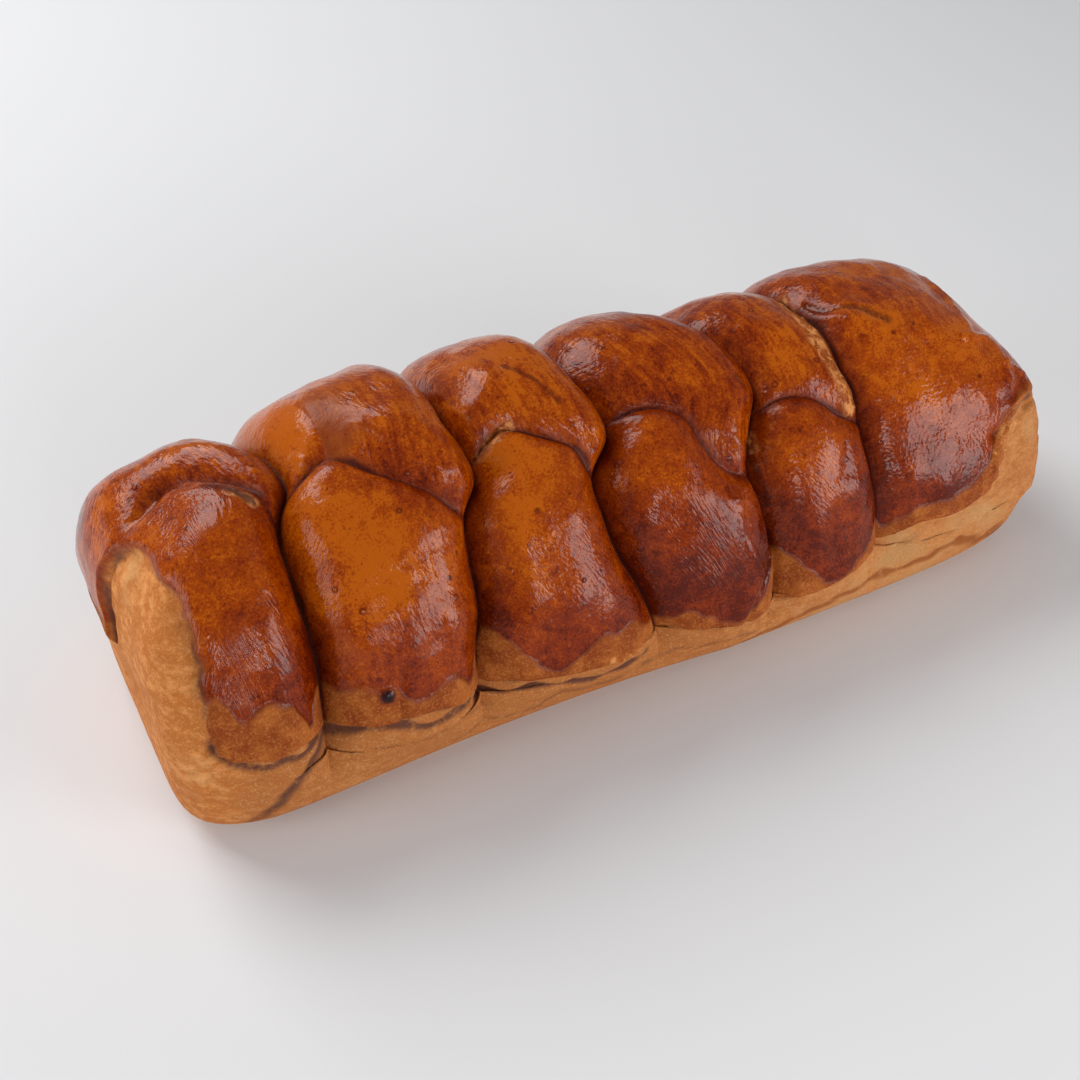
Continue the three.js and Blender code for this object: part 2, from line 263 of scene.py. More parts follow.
def near_path(p, path):
    """Distance of each point to the nearest stretch of a line through the given places."""
    best = np.full(p.shape[:-1], FAR_OFF)
    for a, b in zip(path[:-1], path[1:]):
        run = b - a
        t = np.clip(((p - a) @ run) / (run @ run), 0, 1)
        best = np.minimum(best, np.linalg.norm(p - a - t[..., None] * run, axis=-1))
    return best


def on_form(places):
    """Points of the tin form at places given as x and angle round the loaf."""
    x, angle = np.array(places, float).T
    a = np.radians(angle)
    core = np.stack([x, 0 * x, 0 * x + CORE_HEIGHT], -1)
    return meet(core, np.stack([0 * a, -np.cos(a), np.sin(a)], -1))


def lumps(p):
    """Slow lumps of proved dough, as a sum of crossed waves."""
    x, y, z = p[..., 0], p[..., 1], p[..., 2]
    return (
        0.45 * np.sin(0.11 * x + 0.07 * z + 1.3)
        + 0.4 * np.sin(0.09 * x - 0.12 * y + 4.1)
        + 0.3 * np.sin(0.17 * z + 0.05 * x + 0.14 * y + 2.2)
    )


# Small forms, each a line of places (x, angle) with its width and height in millimetres
RIDGES = [
    ([(23, 28), (27, 30), (32, 29), (35, 22), (36, 16), (33, 8)], 1.3, 1.1),
    ([(25, 27), (24, 19), (27, 8), (30, 0)], 0.9, 1.0),
    ([(128, 97), (127, 76), (123, 58)], 1.5, 1.1),
    ([(119, 56), (131, 53), (132, 45), (131, 37), (128, 31)], 1.5, 1.3),
    ([(131, 43), (140, 35), (138, 28), (128, 26)], 1.3, 1.3),
    ([(120, 5), (123, 13), (127, 19), (136, 22)], 1.5, 1.3),
    ([(77, 86), (82, 77), (89, 70), (97, 62)], 1.6, 0.8),
    ([(-22, -10), (-16, -12), (-9, -18), (-3, -14)], 1.2, 1.0),
    ([(-29, 70), (-24, 64), (-19, 57)], 0.8, 0.6),
    ([(-24, 70), (-19, 63), (-15, 55)], 0.8, 0.8),
    ([(-19, 73), (-15, 65), (-12, 57)], 0.8, 0.7),
    ([(-76, 84), (-70, 77), (-65, 68)], 0.9, 0.7),
    ([(-70, 82), (-64, 74), (-60, 64)], 0.8, 0.8),
    ([(-63, 80), (-58, 70), (-55, 60)], 0.8, 0.7),
    ([(-94, 88), (-91, 82)], 0.9, 0.7),
    ([(26, 50), (31, 44), (35, 38)], 0.8, 0.7),
]
GROOVES = [
    ([(24, -16), (27, -8), (31, -2), (35, 2)], 0.9, 1.8),
    ([(38, -12), (39, 0), (37, 9)], 0.8, 0.9),
    ([(-85, 14), (-87, 6), (-88, -4)], 0.7, 1.6),
    ([(79, 93), (81, 84), (87, 80), (91, 74), (95, 69)], 0.8, 1.0),
    ([(-143, 24), (-143, 12), (-144, 0), (-145, -8)], 0.8, 0.9),
    ([(-141, -8), (-141, -18), (-142, -24)], 0.9, 1.0),
    ([(-148, -10), (-149, -22)], 0.8, 0.8),
    ([(121, 17), (126, 20), (133, 20), (142, 23)], 1.2, 1.6),
    ([(72, -13), (76, -22), (77, -29)], 0.9, 1.2),
    ([(-138, 97), (-132, 103), (-126, 98), (-121, 90)], 1.2, 1.4),
    ([(-112, 80), (-110, 74), (-107, 69)], 0.9, 1.0),
]
TEARS = [
    ([(74, 104), (71, 88), (70, 75), (71, 63), (73, 54), (74, 44)], 4.2),
    ([(-22, -10), (-15, -12), (-6, -13), (3, -12)], 2.5),
    ([(-45, 67), (-40, 71), (-35, 72)], 2.0),
    ([(-113, 80), (-109, 75)], 2.4),
    ([(39, 46), (38, 40)], 1.6),
    ([(122, 12), (127, 18), (134, 19)], 2.2),
]
STAINS = [
    ([(-149, 165), (-149, 150), (-147, 135)], 5.0),
    ([(79, 93), (81, 84), (87, 80), (91, 74), (95, 69)], 1.4),
    ([(76, 92), (76, 82), (75, 70), (76, 62)], 2.2),
    ([(37, 40), (37, 30), (38, 20)], 1.1),
    ([(-30, 88), (-24, 80), (-20, 72)], 0.8),
    ([(-118, 86), (-112, 80), (-109, 75)], 1.5),
]
BUBBLE_PLACE, BUBBLE_RADIUS, BUBBLE_HEIGHT = (-91, 6), 2.1, 1.3
BUBBLE_STRETCH, BUBBLE_HALO = 0.1, 1.25

# Scarps: x of a line at angles round the loaf, the drop to its right and how far it dies away
SCARPS = [
    ([19, 25, 35, 46], [57, 61, 63, 64], 0.9, 10.0),
    ([-14, -8, 0, 8, 19, 27], [26, 28, 30, 27, 24, 25], 0.8, 8.0),
]
SCARP_EDGE, SCARP_END = 0.5, 5.0

# Folds, and plum lines of stain and of painted shadow, on the pale dough in front, as lines of (x, z):
# depth, width, darkness
FRONT_FOLDS = [
    # where a line runs just under the skin's lip, its darkness is painted shadow
    (
        [(-112, 35), (-104, 34), (-96, 35), (-90, 34), (-83, 31), (-76, 30), (-66, 30)],
        *(1.5, 1.4, 1.0),
    ),
    ([(-139, 46), (-138, 40), (-134, 35), (-125, 33), (-117, 32.5), (-110, 33)], 1.3, 1.2, 1.0),
    ([(-63, 28), (-54, 26), (-44, 26), (-35, 24), (-26, 19), (-18, 19), (-8, 21)], 1.6, 1.4, 1.0),
    ([(-101, 35), (-108, 31), (-112, 27), (-117, 23), (-122, 17), (-131, 8)], 0.8, 2.2, 0.75),
    ([(-70, 12), (-56, 15), (-45, 13), (-36, 18), (-28, 14), (-15, 12)], 1.0, 1.0, 0.5),
    ([(-96, 26), (-84, 22), (-72, 23), (-60, 20)], 0.8, 1.0, 0.4),
    ([(-135, 30), (-124, 28), (-115, 30)], 0.7, 1.0, 0.3),
    ([(-8, 14), (6, 16), (20, 14), (34, 12)], 0.9, 1.0, 0.5),
    ([(10, 22), (22, 19), (34, 16), (46, 15)], 0.8, 1.0, 0.3),
    (
        [(30, 7), (40, 9), (54, 12), (65, 13), (76, 14), (90, 15), (102, 16), (112, 18)],
        *(1.1, 1.3, 0.9),
    ),
    ([(86, 25), (94, 29), (102, 30), (111, 29), (120, 31), (132, 36)], 0.9, 1.2, 0.3),
    ([(96, 22), (108, 24), (120, 22), (130, 26)], 0.9, 1.3, 0.2),
    ([(112, 18), (124, 12), (134, 12)], 0.9, 2.4, 0.9),
]

# Folds on the other sides: share of the skin's height, depth, width, sway and seed
FOLDS = [(0.74, 1.1, 1.3, 2.2, 11), (0.44, 1.4, 1.5, 3.0, 12), (0.2, 0.7, 1.2, 1.6, 13)]
FOLD_WAVES, FOLD_STRETCH = (34, 5), [1, 1, 0.3]
FOLDS_FROM, FOLDS_OVER = -140.0, 20.0

# Where those folds are deep and where they are dark: mean, unevenness, and a step in the seed
FOLD_DEEP, FOLD_DARK = (0.6, (0.6, 30, 5), 50), (0.3, (0.8, 26, 5), 90)
FOLD_STAIN = 0.35

# The front's own folds lie where -y is past this, up to this x
FRONT_SIDE_FROM, FRONT_SIDE_OVER = 20.0, 15.0
FRONT_TO, FRONT_TO_OVER = 135.0, 12.0

# The broken groove under the skin's lip
LIP_SHADOW, LIP_WIDTH, LIP_PLACE, LIP_MEAN = 1.1, 1.0, 1.7, 0.7

# How deeply each turn is baked, painted shade towards the creases, a painted sheen beside the matt
# patch, and the matt patch that the wash missed
FRONT_BAKE = [0.24, -0.05, -0.02, 0.24, 0.14, 0.14]
BACK_BAKE = [0.28, 0.02, 0.12, 0.34, 0.22, 0.18]
LOW_FROM, LOW_OVER, LOW_BAKE = 38.0, 48.0, 0.78
# painted shade: extra bake towards the creases, dying away over the reach
PAINTED_SHADE_BY_CREASE, CREASE_REACH = 0.5, 5.0
LEAST_FADE, SEAM_CLEAR = 0.3, 6.0
FRONT_FROM, FRONT_OVER = -146.0, 20.0
PALE_STATIONS = [-152, -140, -120, -90, -60, -30, 0, 30, 60, 90, 115, 135, 155]
PALENESS = [0.25, 0.25, 0.2, 0.15, 0.05, 0.0, 0.05, 0.35, 0.6, 0.7, 0.6, 0.35, 0.25]
PATCH_TURN, PATCH_LEFT, PATCH_OVER = 1, -86.0, 18.0
PATCH_FROM, PATCH_FROM_EDGE, PATCH_TO, PATCH_TO_EDGE = 77.0, 4.0, 108.0, 14.0
# painted sheen: a lighter glaze colour on the second turn's back lobe, left of the matt patch and high
# up
PAINTED_SHEEN, PAINTED_SHEEN_EDGE, PAINTED_SHEEN_FROM, PAINTED_SHEEN_OVER = -0.4, 2.0, 72.0, 20.0


class Surface:
    """Points of the tin form at angles round the loaf, and how each lies on the plait."""

    def __init__(self, p, angle):
        self.p, self.angle = p, angle
        self.x, self.z = p[..., 0], p[..., 2]
        edges = [edge(n, angle) for n in range(LAST + 2)]
        self.turn = sum((self.x > edges[n]).astype(int) for n in range(1, LAST + 1))
        self.left = np.choose(self.turn, edges[:-1])
        self.right = np.choose(self.turn, edges[1:])
        self.share = np.clip((self.x - self.left) / (self.right - self.left), 0, 1)
        self.fade = curve(FADE_ANGLES, FADE, angle)
        self.from_seam = self.seam_distance()
        back = smooth(0.5 + self.from_seam / LIFT_BLEND)
        last_back = smooth((angle - LAST_BLEND_FROM) / LAST_BLEND_OVER)
        self.back = np.where(self.turn == LAST, last_back, back)
        from_end = np.minimum(self.x - LEFT_END, RIGHT_END - self.x)
        self.aside = smooth((from_end - END_MARGIN) / END_BLEND)
        self.front = smooth((-p[..., 1] - FRONT_SIDE_FROM) / FRONT_SIDE_OVER)
        self.foot = curve(SKIN_STATIONS, SKIN_FOOT, self.x) + waves(p, *FOOT_SWAY)
        self.past = self.skin_distance()
        self.pale = smooth(0.5 + self.past / (2 * SKIN_EDGE))

    def seam_distance(self):
        """Distance to the turn's seam, above 0 on the back lobe: the angle past the seam as a
        length, over the root of one plus the square of the seam's slope."""
        seam, slope = np.zeros_like(self.x), np.zeros_like(self.x)
        for n in range(LAST):
            m = self.turn == n
            seam[m] = curve(SEAM_SHARES, SEAMS[n], self.share[m])
            ahead = curve(SEAM_SHARES, SEAMS[n], self.share[m] + PROBE)
            behind = curve(SEAM_SHARES, SEAMS[n], self.share[m] - PROBE)
            slope[m] = (ahead - behind) / (2 * PROBE)
        slant = np.hypot(1, slope * PER_DEGREE / (self.right - self.left))
        away = (self.angle - seam) * PER_DEGREE / slant
        return np.where(self.turn == LAST, RIGHT_END - LEFT_END, away)

    def skin_distance(self):
        """How far a point lies past the edge of the glazed skin: past its foot or its left end,
        whichever is more, and past a round corner where it is past both."""
        left_end = curve(SKIN_LEFT_ANGLES, SKIN_LEFT_END, self.angle) + waves(self.p, *END_SWAY)
        below, beyond = self.foot - self.z + SKIN_CORNER, left_end - self.x + SKIN_CORNER
        past = np.hypot(np.maximum(below, 0), np.maximum(beyond, 0)) - SKIN_CORNER
        return past + np.minimum(np.maximum(below, beyond), 0)

    def by_lobe(self, front, back):
        """A value of each turn's front lobe, which gives way to its back lobe's."""
        front, back = np.array(front)[self.turn], np.array(back)[self.turn]
        return front * (1 - self.back) + back * self.back

    def plait(self):
        """Lifted and tilted lobes less their falls to creases and seam: each fall is a rounded
        slope, and they join as the fourth root of the sum of their fourth powers."""
        depths = np.array([0, *CREASE_DEPTHS, 0], float)
        left_flank = flank(self.x - self.left, LEFT_FLANK)
        right_flank = flank(self.right - self.x, RIGHT_FLANK)
        left_fall = left_flank * depths[self.turn] * self.fade
        right_fall = right_flank * depths[self.turn + 1] * self.fade
        behind = (1 - np.clip(self.from_seam / BACK_FLANK, 0, 1)) ** 2
        seam_flank = np.where(self.from_seam > 0, behind, flank(-self.from_seam, FRONT_FLANK))
        fall = (left_fall**4 + right_fall**4 + (seam_flank * SEAM_DEPTH) ** 4) ** 0.25
        across = 2 * self.share - 1
        across = np.where(self.turn == 0, np.maximum(across, 0), across)
        across = np.where(self.turn == LAST, np.minimum(across, 0), across)
        tilt = self.by_lobe(FRONT_TILT, BACK_TILT)
        lift = self.by_lobe(FRONT_LIFT, BACK_LIFT) + tilt / 2 * across
        lobe = (1 - left_flank) * (1 - right_flank) * lift - LOBE_CROWN * across**2
        return self.aside * (lobe - fall)

    def skin_drop(self):
        """Drop from the skin to the pale dough, with a broken groove under the skin's lip."""
        lowered = smooth((self.x - LOWER_FROM) / LOWER_OVER)
        step = SKIN_STEP + (SKIN_STEP_RIGHT - SKIN_STEP) * lowered
        lip = bell(self.past - LIP_PLACE, LIP_WIDTH)
        broken = smooth(LIP_MEAN + waves(self.p, *LIP_BREAKS))
        return self.pale * step + LIP_SHADOW * lip * broken

    def groove(self):
        """Distance to the nearest crease, stretched where creases fade, or to the seam."""
        to_left = np.where(self.turn > 0, self.x - self.left, WIDTH)
        to_right = np.where(self.turn < LAST, self.right - self.x, WIDTH)
        crease = np.minimum(to_left, to_right) / np.clip(self.fade, LEAST_FADE, 1)
        return np.minimum(crease, np.abs(self.from_seam) + SEAM_CLEAR * (1 - self.aside))


def pale_folds(s):
    """Depth of the folds in the pale dough, and how dark they are: stains, and painted shadow along the
    lines under the skin's lip.
    """
    depth, stain_and_shadow = np.zeros_like(s.x), np.zeros_like(s.x)
    from_left = smooth((s.x - FOLDS_FROM) / FOLDS_OVER)
    elsewhere = 1 - s.front * smooth((FRONT_TO - s.x) / FRONT_TO_OVER)
    for share_up, deep, width, sway, seed in FOLDS:
        line = s.foot * share_up + waves(s.p * FOLD_STRETCH, sway, *FOLD_WAVES, seed)
        near = bell(s.z - line, width) * s.pale * from_left * elsewhere
        deep_here, dark_here = (
            smooth(mean + waves(s.p, *kind, seed + more)) for mean, kind, more in (FOLD_DEEP, FOLD_DARK)
        )
        depth += deep * near * deep_here
        stain_and_shadow = np.maximum(stain_and_shadow, FOLD_STAIN * near * dark_here)
    upright = [0, 0, 1]
    flat = s.p * [1, 0, 1] + waves(s.p, *FOLD_SWAY)[..., None] * upright
    for places, deep, width, dark in FRONT_FOLDS:
        line = np.array([(x, 0, z) for x, z in places], float)
        near = bell(near_path(flat, line), width) * s.pale * s.front
        depth += deep * near
        stain_and_shadow = np.maximum(stain_and_shadow, dark * near)
    return depth, stain_and_shadow


def small_forms(s):
    """Height of the ridges, grooves, tears, scarps and bubble, and where the last stains, the
    tears and the bubble are."""

    def near(places, width):
        return bell(near_path(s.p, on_form(places)), width)

    height, stain_and_shadow, tear = (np.zeros_like(s.x) for _ in range(3))
    for places, width, high in RIDGES:
        height += high * near(places, width)
    for places, width, deep in GROOVES:
        height -= deep * near(places, width)
    for places, width in TEARS:
        here = near(places, width)
        tear = np.maximum(tear, here)
        height += TEAR_HEIGHT * here * waves(s.p, *CRUMPLE)
    for places, width in STAINS:
        stain_and_shadow = np.maximum(stain_and_shadow, near(places, width))
    for angles, places, drop, dies in SCARPS:
        away = s.x - curve(angles, places, s.angle)
        inside = smooth((s.angle - angles[0]) / SCARP_END)
        inside = inside * smooth((angles[-1] - s.angle) / SCARP_END)
        dying = np.exp(-np.maximum(away, 0) / dies)
        height -= drop * inside * smooth(0.5 + away / SCARP_EDGE) * dying
    middle = on_form([BUBBLE_PLACE])[0]
    from_bubble = near_path(s.p, [middle, middle + [0, 0, BUBBLE_STRETCH]])
    height += BUBBLE_HEIGHT * np.sqrt(np.clip(1 - (from_bubble / BUBBLE_RADIUS) ** 2, 0, 1))
    bubble = np.clip(1 - from_bubble / (BUBBLE_RADIUS * BUBBLE_HALO), 0, 1)
    return height, stain_and_shadow, tear, bubble


def above_wash(s):
    """Height above the lower edge of the egg wash, which drips in front, follows the skin's edge
    behind and never comes closer than a margin to the end of the skin."""
    line = curve(WASH_STATIONS, WASH_HEIGHT, s.x)
    for drip, drop, width in DRIPS:
        line = line - drop * bell(s.x - drip, width)
    behind = smooth((s.angle - WASH_BACK_FROM) / WASH_BACK_OVER)
    line = line + (s.foot + WASH_BEHIND - line) * behind
    return np.minimum(s.z - line + waves(s.p, *WASH_SWAY), WASH_MARGIN - s.past)


def bake_and_painted_light(s, groove):
    """How deeply each lobe is baked, more towards its foot, with painted shade towards its creases and
    a painted sheen that lightens the lobe beside the matt patch; and where that patch is."""
    low = smooth((LOW_FROM + LOW_OVER - s.z) / LOW_OVER)
    bake_shade_and_sheen = s.by_lobe(FRONT_BAKE, BACK_BAKE) + LOW_BAKE * low * (1 - s.back)
    # painted shade: darker towards the creases
    bake_shade_and_sheen = bake_shade_and_sheen + PAINTED_SHADE_BY_CREASE * np.exp(-np.abs(groove) / CREASE_REACH)
    right_of = s.x - PATCH_LEFT
    there = s.turn == PATCH_TURN
    # painted sheen: lighter left of the matt patch, high up on the second turn's back lobe
    high = smooth((s.angle - PAINTED_SHEEN_FROM) / PAINTED_SHEEN_OVER)
    bake_shade_and_sheen = bake_shade_and_sheen + PAINTED_SHEEN * smooth(-right_of / PAINTED_SHEEN_EDGE) * high * there
    around = smooth((s.angle - PATCH_FROM) / PATCH_FROM_EDGE)
    around = around * smooth((PATCH_TO - s.angle) / PATCH_TO_EDGE) * there
    return bake_shade_and_sheen, smooth(right_of) * smooth(1 - right_of / PATCH_OVER) * around


def relief(p, angle):
    """Height of the surface above the form, and what the crust is like there.

    The plait, slow lumps, the skin's step, folds and small forms are added up; the sum eases in
    above the foot, which is drawn in by a pinch.
    """
    s = Surface(p, angle)
    fold_depth, fold_stain_and_shadow = pale_folds(s)
    small, small_stain, tear, bubble = small_forms(s)
    body = s.plait() + lumps(p) - s.skin_drop() + waves(p, *SWELL)
    body += (SKIN_PUCKER + DOUGH_PUCKER * s.pale) * waves(p, *PUCKER) - fold_depth + small
    reach = np.clip(1 - ((s.x - PINCH_X) / PINCH_REACH) ** 2, 0, 1)
    pinch = FOOT_PINCH * smooth(1 - s.z / PINCH_TOP) * reach
    height = smooth((s.z - RELIEF_FOOT) / (RELIEF_FULL - RELIEF_FOOT)) * body - pinch

    groove = s.groove()
    bake_shade_and_sheen, patch = bake_and_painted_light(s, groove)
    looks = {
        "glaze": -s.past,
        "wash": above_wash(s),
        "groove": groove,
        "stain_and_shadow": np.maximum(fold_stain_and_shadow, small_stain),
        "tear": tear,
        "bubble": bubble,
        "along": np.where(s.turn == LAST, angle * PER_DEGREE, s.from_seam),
        "across": (s.share - 0.5) * (s.right - s.left),
        "back": s.back,
        "turn": s.turn.astype(float),
        "bake_shade_and_sheen": bake_shade_and_sheen,
        "patch": patch,
        "front": s.front * smooth((s.x - FRONT_FROM) / FRONT_OVER),
        "paleness": curve(PALE_STATIONS, PALENESS, s.x) + waves(p, *PALE_SWAY),
    }
    return height, looks


def columns():
    """Columns as side, tilt, turn, share and place along the plait, from left end to right."""
    t = np.arange(1, CAP_COLUMNS_LEFT) / CAP_COLUMNS_LEFT
    cap = [np.stack([0 * t - 1, 90 * (1 - t), 0 * t, 0 * t, CAP_SHARE * t])]
    for turn, count in enumerate(TURN_COLUMNS):
        t = np.arange(count) / count
        share = t - CROWDING * np.sin(2 * np.pi * t) / (2 * np.pi)
        place = CAP_SHARE + (1 - CAP_SHARE) * share if turn == 0 else turn + share
        cap.append(np.stack([0 * t, 0 * t, 0 * t + turn, share, place]))
    t = np.arange(CAP_COLUMNS_RIGHT) / CAP_COLUMNS_RIGHT
    cap.append(np.stack([0 * t + 1, 90 * t, 0 * t + LAST, 0 * t + 1, 0 * t + LAST + 1]))
    return np.concatenate(cap, axis=1)


def row_angles(place):
    """Angles of the rows in each column: resting angles, pushed so that one row keeps to the
    seams; the push dies away as a squared sine."""
    rest = np.concatenate([np.linspace(a, b, n, endpoint=False) for a, b, n in ROW_ZONES])
    shares = np.linspace(FOLLOW_FROM, FOLLOW_TO, FOLLOW_STEPS)
    stations = np.concatenate([n + shares for n in range(LAST)] + [[LAST + 0.5]])
    path = np.concatenate([curve(SEAM_SHARES, s, shares) for s in SEAMS] + [[SEAM_ROW]])
    push = np.interp(place, stations, path) - SEAM_ROW
    near = np.clip(1 - np.abs(rest - SEAM_ROW) / SEAM_ROW_REACH, 0, 1)
    return rest + push[:, None] * np.sin(np.pi / 2 * near) ** 2


def skin_points():
    """Points of the skin as columns by rows, with a pole at each end, and their looks."""
    side, tilt, turn, share, place = columns()
    angle = row_angles(place)
    angle = np.concatenate([angle, np.zeros((1, angle.shape[1]))])
    side = np.append(side, -1)[:, None] + 0 * angle
    tilt = np.radians(np.append(tilt, 90))[:, None] + 0 * angle
    turn, share = np.append(turn, 0), np.append(share, 0)
    side[-1, 1], share = 1, share[:, None] + 0 * angle
    x = side * CORE_END
    for n in range(LAST + 1):
        m = (turn == n) & (tilt[:, 0] == 0)
        left = -CORE_END + 0 * angle[m] if n == 0 else edge(n, angle[m])
        right = CORE_END + 0 * angle[m] if n == LAST else edge(n + 1, angle[m])
        x[m] = left + (right - left) * share[m]
    a = np.radians(angle)
    way = np.stack([side * np.sin(tilt), -np.cos(tilt) * np.cos(a), np.cos(tilt) * np.sin(a)], -1)
    p = meet(np.stack([x, 0 * x, 0 * x + CORE_HEIGHT], -1), way)
    height, looks = relief(p, angle)
    p = p + relief_way(p, way) * height[..., None]
    p[..., 2] = np.where(p[..., 2] < FOOT_SNAP, 0, p[..., 2])

    def listed(values):
        grid = values[:-1].reshape(-1, *values.shape[2:])
        return np.concatenate([grid, values[-1, :2]])

    return listed(p), {name: listed(value) for name, value in looks.items()}, angle[:-1].shape


def skin_faces(cols, rows):
    """Four-sided faces between neighbouring columns and rows, and a fan at each pole."""
    i, j = np.meshgrid(np.arange(cols - 1), np.arange(rows), indexing="ij")
    k = (j + 1) % rows
    quads = np.stack([i * rows + j, (i + 1) * rows + j, (i + 1) * rows + k, i * rows + k], -1)
    j = np.arange(rows)
    k = (j + 1) % rows
    left = np.stack([0 * j + cols * rows, j, k], -1)
    last = (cols - 1) * rows
    right = np.stack([0 * j + cols * rows + 1, last + k, last + j], -1)
    return quads.reshape(-1, 4).tolist() + left.tolist() + right.tolist()


def make_loaf():
    """The loaf's skin as one closed mesh, centred like the solid, with its looks as attributes."""
    points, looks, (cols, rows) = skin_points()
    middle = (points.min(0) + points.max(0)) / 2
    middle[2] = 0
    points = points - middle
    mesh = bpy.data.meshes.new("brioche_skin")
    mesh.from_pydata((points * MILLIMETRE).tolist(), [], skin_faces(cols, rows))
    for name, value in looks.items():
        layer = mesh.attributes.new(name, "FLOAT", "POINT")
        layer.data.foreach_set("value", value.astype(np.float32))
    mesh.polygons.foreach_set("use_smooth", [True] * len(mesh.polygons))
    mesh.update()
    loaf = bpy.data.objects.new("brioche_loaf", mesh)
    bpy.context.scene.collection.objects.link(loaf)
    return loaf, middle


class Finish:
    """A node material, with one short call for each kind of node."""

    def __init__(self, name):
        self.material = bpy.data.materials.new(name)
        self.material.use_nodes = True
        self.tree = self.material.node_tree
        self.shader = self.tree.nodes["Principled BSDF"]

    def put(self, socket, value):
        if isinstance(value, bpy.types.NodeSocket):
            self.tree.links.new(value, socket)
        else:
            socket.default_value = value

    def node(self, kind, settings=None, **inputs):
        made = self.tree.nodes.new(kind)
        for name, value in (settings or {}).items():
            setattr(made, name, value)
        for name, value in inputs.items():
            self.put(made.inputs[name.replace("_", " ")], value)
        return made

    def math(self, operation, a, b):
        made = self.node("ShaderNodeMath", {"operation": operation})
        self.put(made.inputs[0], a)
        self.put(made.inputs[1], b)
        return made.outputs[0]

    def attribute(self, name):
        return self.node("ShaderNodeAttribute", {"attribute_name": name}).outputs["Fac"]

    def step(self, value, low, high, to_low=0.0, to_high=1.0):
        """Ease from to_low at low to to_high at high."""
        made = self.node("ShaderNodeMapRange", {"interpolation_type": "SMOOTHSTEP"})
        for name, number in zip(
            ("Value", "From Min", "From Max", "To Min", "To Max"),
            (value, low, high, to_low, to_high),
        ):
            self.put(made.inputs[name], number)
        return made.outputs[0]

    def blend(self, share, a, b):
        """Colour a giving way to colour b."""
        made = self.node("ShaderNodeMix", {"data_type": "RGBA"})
        self.put(made.inputs[0], share)
        self.put(made.inputs[6], (*a, 1) if isinstance(a, tuple) else a)
        self.put(made.inputs[7], (*b, 1) if isinstance(b, tuple) else b)
        return made.outputs[2]

    def noise(self, place, scale, detail=3.0, roughness=0.55, distortion=0.0):
        made = self.node(
            "ShaderNodeTexNoise",
            Vector=place,
            Scale=scale,
            Detail=detail,
            Roughness=roughness,
            Distortion=distortion,
        )
        return made.outputs["Fac"]

    def stretched(self, place, scale, turn=0.0):
        """Stretched along each axis, and turned about the last by an angle in radians."""
        turn = (0.0, 0.0, turn)
        return self.node("ShaderNodeMapping", Vector=place, Scale=scale, Rotation=turn).outputs[0]

    def cells(self, place, scale):
        """Distance to the middle of the nearest cell, and a colour picked for that cell."""
        made = self.node("ShaderNodeTexVoronoi", Vector=place, Scale=scale, Randomness=1.0)
        return made.outputs["Distance"], made.outputs["Color"]

    def times(self, first, *others):
        for other in others:
            first = self.math("MULTIPLY", first, other)
        return first

    def vary(self, total, part, weight):
        """A total plus a weight times what a noise is above its mean of one half."""
        return self.math("ADD", total, self.times(self.math("SUBTRACT", part, 0.5), weight))

    def mix(self, share, a, b):
        made = self.node("ShaderNodeMix", {"data_type": "FLOAT"})
        for socket, value in zip((0, 2, 3), (share, a, b)):
            self.put(made.inputs[socket], value)
        return made.outputs[0]

    def bump(self, height, depth):
        return self.node("ShaderNodeBump", Height=height, Distance=depth).outputs[0]


# Colours of the crust and the dough
HONEY = (0.45, 0.092, 0.002)
AMBER = (0.31, 0.045, 0.0003)
CHESTNUT = (0.20, 0.021, 0.0002)
DEEP_BROWN = (0.085, 0.006, 0.0002)
UNGLAZED = (0.22, 0.038, 0.001)
UNGLAZED_PALE = (0.37, 0.098, 0.012)
TAN = (0.70, 0.28, 0.082)
STRAW = (0.63, 0.36, 0.14)
FOXED = (0.47, 0.14, 0.022)
# plum of the painted shadow lines under the skin's lip, and of stain lines
PLUM_SHADOW_AND_STAIN = (0.085, 0.028, 0.02)
RUST = (0.27, 0.07, 0.012)
SHADED = (0.33, 0.115, 0.032)
BURNT = (0.04, 0.004, 0.002)
# painted shade: near-black colour laid into the creases
PAINTED_CREASE_SHADE = (0.06, 0.004, 0.0006)
BUBBLE_BROWN = (0.02, 0.004, 0.004)
SHEEN = 0.19
WET_ROUGHNESS, DRY_ROUGHNESS, CREASE_ROUGHNESS = (0.13, 0.23), 0.74, 0.35
WASH_THICKNESS = 0.05

LOOKS = ["glaze", "wash", "groove", "stain_and_shadow", "tear", "bubble", "along", "across"]
LOOKS += ["back", "turn", "bake_shade_and_sheen", "patch", "front", "paleness"]
TURNS_APART = 37.0  # keeps the noise of one turn from running on into the next

# Noises of the crust: cells for each metre, detail, roughness and distortion
NOISES = {
    "slow": (26.0, 3.0, 0.55, 0.0),
    "wisps": (55.0, 3.0, 0.55, 0.0),
    "blotch": (75.0, 4.0, 0.6, 0.4),
    "mealy": (120.0, 4.0, 0.6, 0.0),
    "breaks": (210.0, 4.0, 0.7, 0.0),
    "mottle": (260.0, 4.0, 0.65, 0.6),
    "speckle": (330.0, 3.0, 0.7, 0.0),
    "fine": (900.0, 2.0, 0.6, 0.0),
    "grain": (1500.0, 2.0, 0.6, 0.0),
}

